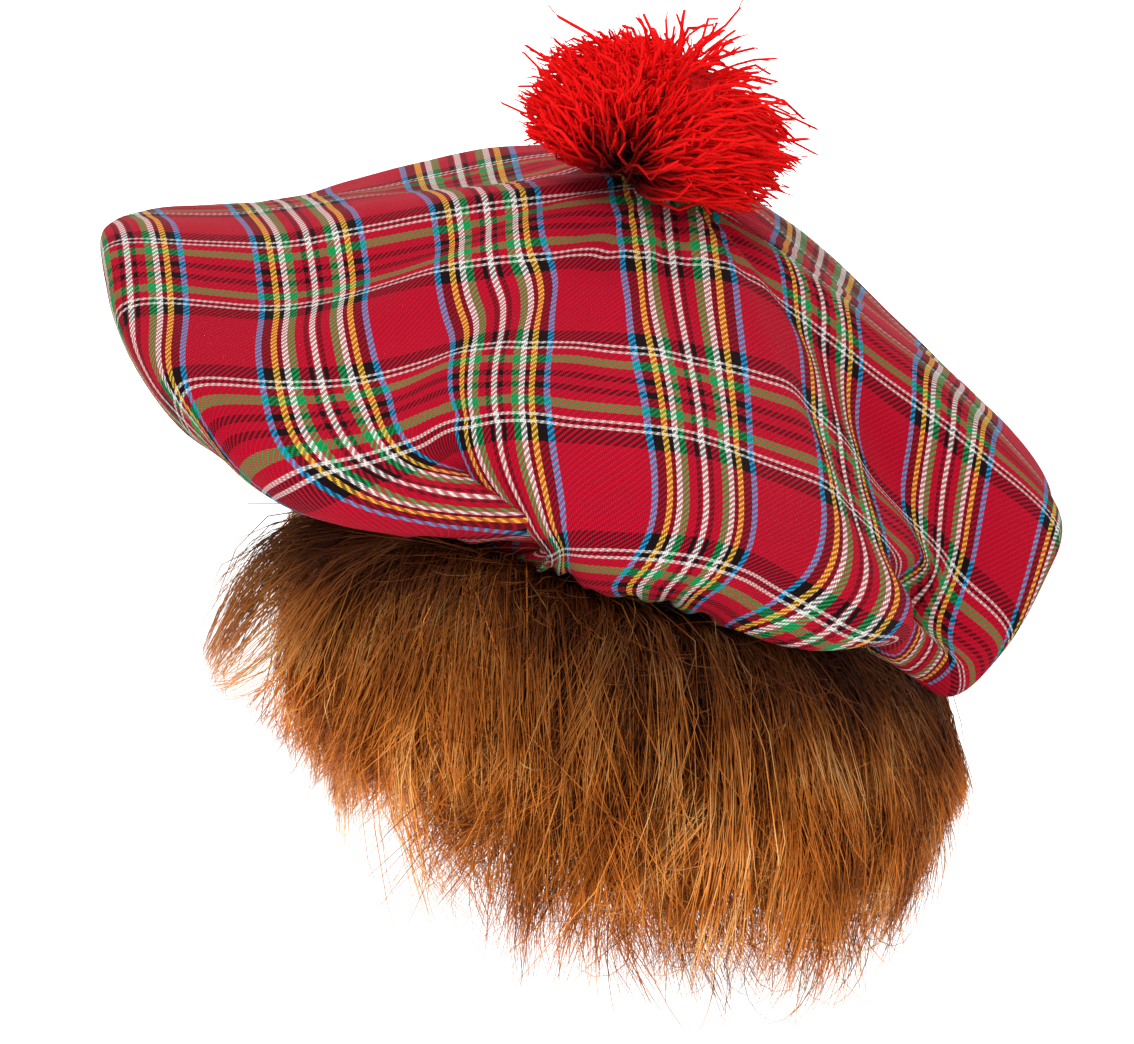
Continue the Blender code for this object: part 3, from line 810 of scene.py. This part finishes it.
def hair_paths(rng):
    """Every strand's path, its end down the fall scaled for its painted root shade, and its own and
    its lock's tone.
    """
    locks = make_locks(rng)
    number = len(locks["azimuth"])
    lock = np.repeat(np.arange(number), STRANDS_IN_LOCK)
    mine = {name: column[lock] for name, column in locks.items()}
    strands = len(lock)

    beside = np.clip(rng.normal(0, STRAND_SPREAD, strands), -1.4, 1.4)
    azimuth = np.clip(mine["azimuth"] + beside * mine["width"], -FACE_OPEN_AT, FACE_OPEN_AT)
    layer = np.clip(mine["layer"] + rng.normal(0, 0.10, strands), 0, 1)
    reach = mine["reach"] * rng.normal(1, 0.05, strands)
    ragged = np.abs(rng.normal(0, 0.13, strands)) * rng.choice([1, 1, 1, -0.35], strands)
    ends = np.clip(mine["fall"] * (1 - ragged), *ENDS_WITHIN)

    share = np.linspace(0, 1, STRAND_STEPS + 1)[None, :] ** 0.9
    places = ends[:, None] * share
    flow = along_rows(fall(azimuth, layer, reach, mine["drop"], mine["sweep"]), places)
    middle = along_rows(fall(*(locks[name] for name in FALL_COLUMNS))[lock], places)
    gather = mine["clump"][:, None] * smoothstep(*CLOSES_UP, share)
    flow[..., 0] += (middle[..., 0] - flow[..., 0]) * gather
    at = azimuth[:, None] + (mine["azimuth"] - azimuth)[:, None] * gather
    at = at + mine["sweep"][:, None] * share**1.35
    held = 0.34 + 0.5 * mine["clump"][:, None]
    loose = (rng.uniform(0, 1, (strands, 1)) > held) * 1.0
    astray = rng.normal(0, 1.0, (strands, 1)) + loose * rng.normal(0, LOOSE_TURN, (strands, 1))
    at = at + astray * share
    turn = 2 * math.pi * share
    lock_phase = rng.uniform(0, 2 * math.pi, number)[lock][:, None]
    own_phase = rng.uniform(0, 2 * math.pi, (strands, 1))
    pace = rng.uniform(*OWN_PACE, (strands, 1))
    settled = smoothstep(0, 0.5, share)
    lock_pace = rng.uniform(*LOCK_PACE, number)[lock][:, None]
    lock_wave = np.sin(lock_pace * turn + lock_phase) - np.sin(lock_phase)
    at = at + (LOCK_WAVE * lock_wave + OWN_WAVE * np.sin(pace * turn + own_phase)) * settled
    flow[..., 0] += 1.2 * np.sin(pace * turn + 2 * own_phase) * share
    flow[..., 0] += mine["lift"][:, None] * share**2.5
    flow[..., 0] += loose * np.abs(rng.normal(0, LOOSE_OUT, (strands, 1))) * share
    return to_space(at, flow), ends * mine["shade"], rng.uniform(0, 1, strands), mine["tone"]


def flyaway_paths(rng):
    """Loose single hairs that leave the locks near their ends."""
    azimuth = rng.uniform(-FACE_OPEN_AT, FACE_OPEN_AT, FLYAWAYS)
    reach = rng.uniform(*FLYAWAY_REACH, FLYAWAYS)
    drop = rng.uniform(*FLYAWAY_DROP, FLYAWAYS)
    share = np.linspace(0, 1, STRAND_STEPS + 1)[None, :]
    left = smoothstep(0, -80, azimuth)[:, None]
    ends = rng.uniform(0.35, 1.0, (FLYAWAYS, 1)) ** (0.35 + 0.65 * left)
    aside = rng.normal(0, 9, (FLYAWAYS, 1)) - FLYAWAY_LEFT_SWEEP * left
    rows = fall(azimuth, np.zeros(FLYAWAYS), reach, drop, aside[:, 0])
    flow = along_rows(rows, ends * share)
    flow[..., 0] += np.abs(rng.normal(0, 5, (FLYAWAYS, 1))) * share**3
    paths = to_space(azimuth[:, None] + aside * share**1.5, flow)
    return paths, ends[:, 0], rng.uniform(0, 1, FLYAWAYS), rng.uniform(0.4, 1, FLYAWAYS)


def frizz_paths(rng):
    """Short stray hairs that cross the fall in every direction, most near its top."""
    steps = STRAND_STEPS + 1
    azimuth = rng.uniform(-FACE_OPEN_AT + 3, FACE_OPEN_AT - 3, FRIZZ)
    sweep = -LEFT_SWEEP * smoothstep(20, -45, azimuth)
    rows = fall(azimuth, np.full(FRIZZ, 0.08), np.ones(FRIZZ), np.zeros(FRIZZ), sweep)
    flow = along_rows(rows, np.linspace(0, 1, FALL_ROWS))
    start = rng.uniform(*FRIZZ_START, FRIZZ) ** 1.3
    row = np.clip((start * (FALL_ROWS - 1)).astype(int), 0, FALL_ROWS - 3)
    begin = flow[np.arange(FRIZZ), row]
    way = unit(flow[np.arange(FRIZZ), row + 1] - begin)
    turn = rng.normal(0, 0.8, FRIZZ) - 0.5 * smoothstep(20, -60, azimuth)
    curl = rng.normal(0, 1.3, FRIZZ)
    long = rng.uniform(*FRIZZ_LENGTH, FRIZZ)
    share = np.linspace(0, 1, steps)[None, :]
    heading = turn[:, None] + curl[:, None] * share
    pace = long[:, None] / steps
    down = np.cumsum(np.cos(heading) * pace, axis=1)
    side = np.cumsum(np.sin(heading) * pace, axis=1)
    arc = rng.uniform(0.5, 1, (FRIZZ, 1))
    lift = rng.uniform(*FRIZZ_LIFT, (FRIZZ, 1)) * np.sin(math.pi * share * arc)
    path = begin[:, None] + way[:, None] * down[..., None]
    path[..., 0] += lift
    paths = to_space(azimuth[:, None] + np.degrees(side / HAIR_DISTANCE), path)
    return paths, start + 0.15, rng.uniform(0.2, 1, FRIZZ), rng.uniform(0.4, 1.1, FRIZZ)


def hair_finish():
    """Ginger fibre: painted shade darkens it towards its root, it is lighter at its end, and each
    strand has its own tone.
    """
    s = Shader("ginger_hair")
    along, own, lock = s.tone()
    shade = s.math("MULTIPLY_ADD", own, 0.34, s.math("MULTIPLY", lock, 0.52))
    shade = s.math("ADD", shade, s.math("MULTIPLY", along, 0.14))
    shade = s.math("ADD", shade, s.between(s.noise(s.place(), 42.0), -0.52, 0.58))
    # Painted shade towards the root.
    colour = s.shaded(s.ramp(shade, HAIR_COLOURS), s.ramp(along, HAIR_ROOT_PAINTED_SHADE))
    return s.finish(colour, 0.50, specular=0.12)


def under_fur_finish():
    """Fibre painted dark for the shade deep in the hair, with an upright grain."""
    s = Shader("under_fur")
    stretched = s.node("ShaderNodeMapping", {"Scale": (900, 900, 45), "Vector": s.place()})
    grain = s.noise(stretched.outputs[0], 1.0, 3.0, 0.6)
    return s.finish(s.ramp(grain, UNDER_FUR_PAINTED_SHADE_COLOURS), 0.7, s.bump(grain, 0.001, 0.6), specular=0.2)


def make_under_fur():
    """The body under the strands, painted dark for the shade deep in the hair: one outline swept
    round the back, closed at its ends.
    """
    azimuth = np.linspace(-FACE_OPEN_AT + 1.5, FACE_OPEN_AT - 1.5, UNDER_FUR_STEPS)
    t = hair_table(azimuth)
    top = hair_root(azimuth)[:, 2] - HAIR_TOP_GAP
    lock = np.cos(np.radians(azimuth * 360 / 14.0)) + 0.6 * np.cos(np.radians(azimuth * 360 / 6.1))
    hem = t["hem_height"] + 24 - 5 * lock
    outline = [(0.4, top - 0.6), (0.4, top - BACKING_DROP), (t["hem_out"] - 10, hem + 14),
               (t["hem_out"] - 5, hem), (t["hem_out"] - 1.5 + lock, hem + 16),
               (t["bulge_out"] * 0.72 + lock, t["bulge_height"] - 8),
               (t["bulge_out"] * 0.68, (t["bulge_height"] + t["shoulder_height"]) / 2),
               (t["shoulder_out"] * 0.7, t["shoulder_height"] - 4),
               (t["shoulder_out"] * 0.3, (t["shoulder_height"] + top) / 2 - 1)]
    flat = np.zeros_like(azimuth)
    loops = np.array([to_space(azimuth, np.stack([flat + out, flat + height], axis=1))
                      for out, height in outline])
    around, number = loops.shape[:2]
    points = loops.transpose(1, 0, 2).reshape(-1, 3)
    quads = ring_quads(number, around)
    cap = np.arange(around)
    caps = [cap, (number - 1) * around + cap[::-1]]
    body = mesh_object("hair_under_fur", points, face_list(quads, caps), under_fur_finish())
    smooth = body.modifiers.new("smooth", "SUBSURF")
    smooth.levels = 1
    smooth.render_levels = 1
    return body


def strand_piece(name, paths, ends, own, tone, radius, finish, rng):
    """One piece of many tapered strands."""
    share = np.linspace(0, 1, paths.shape[1])
    thick = radius * rng.uniform(0.6, 1.25, (len(paths), 1)) * (1 - 0.75 * share**3)
    points, faces, place, each = tubes(paths, thick)
    piece = mesh_object(name, points, faces, finish)
    down = place * np.repeat(ends, each)
    add_tones(piece, np.stack([down, np.repeat(own, each), np.repeat(tone, each)], axis=1))
    return piece


def make_hair():
    """The hair: an under-fur body painted dark as shade, and strands in locks, in pieces."""
    rng = np.random.default_rng(SEED)
    made = [make_under_fur()]
    finish = hair_finish()
    paths, ends, own, tone = hair_paths(rng)
    part = np.searchsorted(HAIR_PARTS_AT, np.arctan2(paths[:, 0, 0], -paths[:, 0, 1]))
    for k, name in enumerate(("hair_left", "hair_mid_left", "hair_mid_right", "hair_right")):
        chosen = part == k
        made.append(strand_piece(name, paths[chosen], ends[chosen], own[chosen], tone[chosen],
                                 STRAND_RADIUS, finish, rng))
    made.append(strand_piece("hair_flyaways", *flyaway_paths(rng), FLYAWAY_RADIUS, finish, rng))
    made.append(strand_piece("hair_frizz", *frizz_paths(rng), FRIZZ_RADIUS, finish, rng))
    for piece in made:
        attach(piece, "root")
        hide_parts("hair")


def pompom_finish():
    """Red acrylic yarn, with painted shade where it goes down into the ball and round its hollow.
    """
    s = Shader("red_yarn")
    along, own, depth = s.tone()
    fuzz = s.noise(s.place(), 1400.0)
    shade = s.math("MULTIPLY_ADD", own, 0.35, s.math("MULTIPLY", fuzz, 0.4))
    # Painted shade where the yarn goes down into the ball.
    colour = s.shaded(s.ramp(shade, YARN_COLOURS), s.ramp(along, YARN_ROOT_PAINTED_SHADE))
    # Painted shade round the hollow.
    colour = s.shaded(colour, s.ramp(depth, HOLLOW_PAINTED_SHADE))
    return s.finish(colour, 0.9, s.bump(fuzz, 0.0003, 0.7), 0.12, (1.0, 0.12, 0.1), 0.04)


def core_finish():
    """Matted yarn, painted darker than the outer yarn for the shade deep in the ball."""
    s = Shader("yarn_core")
    grain = s.noise(s.place(), 700.0, 3.0)
    return s.finish(s.ramp(grain, CORE_PAINTED_SHADE_COLOURS), 0.9, s.bump(grain, 0.0012, 1.0), specular=0.1)


def lean(points):
    """Points of the upright pompom, leaned about X and then Y and moved to its place."""
    cx, cy = np.cos(np.radians(POMPOM_LEAN))
    sx, sy = np.sin(np.radians(POMPOM_LEAN))
    leaned = np.array([[cy, sy * sx, sy * cx], [0, cx, -sx], [-sy, cy * sx, cy * cx]])
    return points @ leaned.T + np.array(POMPOM_CENTRE)


def yarn_ways(rng):
    """The yarns' directions, even over a ball and opened round the parting, and how far
    from the parting each one is."""
    k = np.arange(YARNS) + 0.5
    z = 1 - 2 * k / YARNS
    turn = k * math.pi * (3 - math.sqrt(5))
    level = np.sqrt(1 - z * z)
    way = np.stack([level * np.cos(turn), level * np.sin(turn), z], axis=1)
    way = unit(way + rng.normal(0, 0.10, way.shape))
    parting = unit(np.array(PARTING_WAY))
    facing = np.clip(way @ parting, -1, 1)
    aside = unit(way - facing[:, None] * parting)
    least = math.radians(PARTING_ANGLE)
    opened = least + np.arccos(facing) * (math.pi - least) / math.pi
    way = np.cos(opened)[:, None] * parting + np.sin(opened)[:, None] * aside
    keep = way[:, 2] > LOWEST_WAY
    return way[keep], opened[keep]


def yarn_tips(rng, way):
    """Where the yarns end: in tufts, shorter but with proud ends on top and at the upper
    right, and resting on the cloth below."""
    count = len(way)
    tuft = np.sin(7 * way[:, 0] + 3 * way[:, 2]) * np.sin(6 * way[:, 1] - 4 * way[:, 2])
    size = 1.0 + 0.05 * tuft - np.abs(rng.normal(0, 0.09, count))
    high = smoothstep(0.3, 0.9, way[:, 2])
    size = size - 0.16 * high
    sloped = smoothstep(-0.25, 0.45, way[:, 0]) * smoothstep(0.1, 0.6, way[:, 2])
    proud = (rng.uniform(0, 1, count) > 0.93 - 0.07 * sloped) & (way[:, 2] > -0.05)
    size = size * (1 - 0.27 * sloped)
    size = size + proud * rng.uniform(*PROUD_SIZE, count) * (1 + 0.9 * high + 1.4 * sloped)
    tip = way * POMPOM_HALF * size[:, None]
    lowest = -14.5 - 9.0 * smoothstep(5, 34, tip[:, 0]) + 3.0 * rng.uniform(0, 1, count)
    tip[:, 2] = np.maximum(tip[:, 2] - 5.0 * smoothstep(8, 36, tip[:, 0]) - 2.0, lowest)
    raised = 0.9 * tip[:, 1] - 0.45 * tip[:, 0]
    tip[:, 2] -= 9.0 * smoothstep(4, 34, raised) * smoothstep(14, -8, tip[:, 2])
    return tip


def yarn_paths(rng, opened, tip):
    """The yarns' curves, from the parting or the middle to their tips."""
    count = len(tip)
    parting = unit(np.array(PARTING_WAY))
    source = parting * POMPOM_HALF * PARTING_DEPTH
    start = source * (1 - smoothstep(1.3, 2.2, opened))[:, None]
    start = start + rng.normal(0, 3.4, (count, 3))
    share = np.append(np.linspace(0, BLUNT_FROM, YARN_STEPS), 1.0)[None, :, None]
    near = np.clip((2.2 - opened) / 1.5, 0, 1)[:, None]
    arch = parting * near * rng.uniform(3.0, 9.0, (count, 1))
    arch[:, 2] += (1 - near[:, 0]) * 0.12 * np.linalg.norm(tip - start, axis=1)
    paths = start[:, None] * (1 - share) + tip[:, None] * share
    paths = paths + arch[:, None] * 4 * share**0.8 * (1 - share)
    bend = rng.normal(0, 1.5, (count, 3))
    kink = rng.uniform(0, 2 * math.pi, (count, 1, 1))
    return paths + bend[:, None] * np.sin(share * 11 + kink) * share**2


def yarn_fibres(rng, paths):
    """A short loose fibre beside each yarn's outer half."""
    count = len(paths)
    where = rng.uniform(0.55, 1.0, (count, 1)) * YARN_STEPS
    low = np.minimum(where.astype(int), YARN_STEPS - 1)
    row = np.arange(count)[:, None]
    first = paths[row, low][:, 0]
    second = paths[row, low + 1][:, 0]
    ahead = unit(second - first)
    begin = first + (second - first) * (where - low) + rng.normal(0, 0.3, first.shape)
    long = rng.uniform(*FIBRE_LENGTH, (count, 1))
    spread = rng.normal(0, 0.30, first.shape)
    return begin[:, None] + ((ahead + spread) * long)[:, None] * np.linspace(0, 1, 3)[None, :, None]


def make_pompom():
    """The pompom: a core painted dark as shade, and yarn that fans out of its parting and frays."""
    rng = np.random.default_rng(SEED + 1)
    parting = unit(np.array(PARTING_WAY))
    way, opened = yarn_ways(rng)
    paths = yarn_paths(rng, opened, yarn_tips(rng, way))
    count = len(paths)
    own = rng.uniform(0, 1, count)
    thick = YARN_RADIUS * rng.uniform(0.8, 1.25, (count, 1)) * np.ones((1, YARN_STEPS + 1))
    thick[:, -2] *= 0.85
    points, (corners, sizes), place, each = tubes(lean(paths), thick)
    fibres = tubes(lean(yarn_fibres(rng, paths)), np.full((count, 3), FIBRE_RADIUS))
    corners = np.concatenate([corners, fibres[1][0] + len(points)])
    sizes = np.concatenate([sizes, fibres[1][1]])
    place = np.concatenate([place, 0.8 + 0.2 * fibres[2]])
    own_each = np.concatenate([np.repeat(own, each), np.repeat(own, fibres[3])])
    points = np.concatenate([points, fibres[0]])
    pompom = mesh_object("pompom_yarn", points, (corners, sizes), pompom_finish())
    # Painted shade round the hollow: yarn near it is darkened.
    hollow = lean(parting * POMPOM_HALF * HOLLOW_SHADE_AT)
    depth = smoothstep(*HOLLOW_SHADE_FADE, np.linalg.norm(points - hollow, axis=1))
    add_tones(pompom, np.stack([place, own_each, depth], axis=1))

    bpy.ops.mesh.primitive_ico_sphere_add(subdivisions=4, radius=1.0)
    core = bpy.context.object
    core.name = "pompom_core"
    for vertex in core.data.vertices:
        p = np.array(vertex.co) * POMPOM_HALF * CORE_SIZE - parting * CORE_BACK
        p[2] = max(p[2], CORE_BOTTOM)
        vertex.co = lean(p) * MM
    core.data.materials.clear()
    core.data.materials.append(core_finish())
    core.data.shade_smooth()
    for piece in (pompom, core):
        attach(piece, "root")
        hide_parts("pompom")


def tape_finish():
    """Plain woven black tape, lighter on its ribs and with painted shade in the grooves between
    them.
    """
    s = Shader("black_tape")
    place = s.place()
    ribs = s.node("ShaderNodeTexWave", {"Vector": place, "Scale": 420.0, "Distortion": 1.5},
                  wave_type="BANDS", bands_direction="Z")
    height = s.math("MULTIPLY_ADD", s.noise(place, 900.0, 3.0), 0.4, ribs.outputs["Fac"])
    bump = s.bump(height, 0.0002, 0.8)
    return s.finish(s.ramp(height, TAPE_COLOURS_AND_GROOVE_SHADE), 0.85, bump, sheen=0.15, specular=0.2)


def knit_finish():
    """The fur's brown knitted back, with painted shade at the edges of its stitches."""
    s = Shader("brown_knit")
    cells = s.node("ShaderNodeTexVoronoi", {"Vector": s.place(), "Scale": 620.0}, feature="F1")
    height = s.math("SUBTRACT", 1.0, cells.outputs["Distance"])
    bump = s.bump(height, 0.0004, 0.8)
    return s.finish(s.ramp(height, KNIT_COLOURS_AND_STITCH_SHADE), 0.9, bump, sheen=0.1, specular=0.15)


def dress_carried_nodes():
    """Finishes for the tape and the backing, which are the part's own nodes."""
    for node, finish in (("headband", tape_finish()), ("wig_backing", knit_finish())):
        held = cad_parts[node].data.materials
        held.clear()
        held.append(finish)


def make_studio():
    """A pale floor that curves up into a pale wall, soft lamps and a bright surround."""
    profile = [(-FLOOR_HALF_WIDTH, FLOOR_HEIGHT)]
    for i in range(CURVE_STEPS + 1):
        turn = math.radians(90 * i / CURVE_STEPS)
        profile.append((CURVE_AT + CURVE_RADIUS * math.sin(turn),
                        FLOOR_HEIGHT + CURVE_RADIUS * (1 - math.cos(turn))))
    profile.append((CURVE_AT + CURVE_RADIUS, WALL_TOP))
    points = [(x, y, z) for x in (-FLOOR_HALF_WIDTH, FLOOR_HALF_WIDTH) for y, z in profile]
    count = len(profile)
    faces = [(k, k + count, k + count + 1, k + 1) for k in range(count - 1)]
    s = Shader("studio_paper")
    paper = s.finish(s.ramp(s.noise(s.place(), 3.0), PAPER_COLOURS), 0.9, specular=0.0)
    s.put(s.surface, {"Emission Color": (1, 1, 1, 1), "Emission Strength": PAPER_GLOW})
    floor = mesh_object("studio_floor", np.array(points) / MM, face_list(faces), paper)

    world = bpy.data.worlds.new("studio_world")
    bpy.context.scene.world = world
    world.use_nodes = True
    back = world.node_tree.nodes["Background"]
    back.inputs["Color"].default_value = (1.0, 1.0, 1.0, 1.0)
    back.inputs["Strength"].default_value = SURROUND_STRENGTH
    for name, place, aim, size, power in LAMPS:
        lamp = bpy.data.lights.new(name, "AREA")
        lamp.shape = "DISK"
        lamp.size = size
        lamp.energy = power
        made = bpy.data.objects.new(name, lamp)
        made.location = place
        made.rotation_euler = (Vector(aim) - Vector(place)).to_track_quat("-Z", "Y").to_euler()
        bpy.context.scene.collection.objects.link(made)
    bpy.context.scene.view_settings.view_transform = "Standard"


def make_camera():
    """The photo's view: level with the hat from behind, looking down on it a little."""
    elevation = math.radians(10.0)
    distance = 2.0
    frame_width = 0.3402
    aside = -0.0174
    above = 0.0024
    forward = Vector((0.0, math.cos(elevation), -math.sin(elevation)))
    up = Vector((0.0, math.sin(elevation), math.cos(elevation)))
    lens = bpy.data.cameras.new("photo_camera")
    lens.sensor_width = 36.0
    lens.lens = lens.sensor_width * distance / frame_width
    lens.clip_end = 50.0
    camera = bpy.data.objects.new("photo_camera", lens)
    camera.location = -forward * distance + Vector((aside, 0, 0)) + up * above
    camera.rotation_euler = forward.to_track_quat("-Z", "Y").to_euler()
    bpy.context.scene.collection.objects.link(camera)
    bpy.context.scene.camera = camera


make_camera()
make_studio()
dress_carried_nodes()
make_crown()
make_hair()
make_pompom()
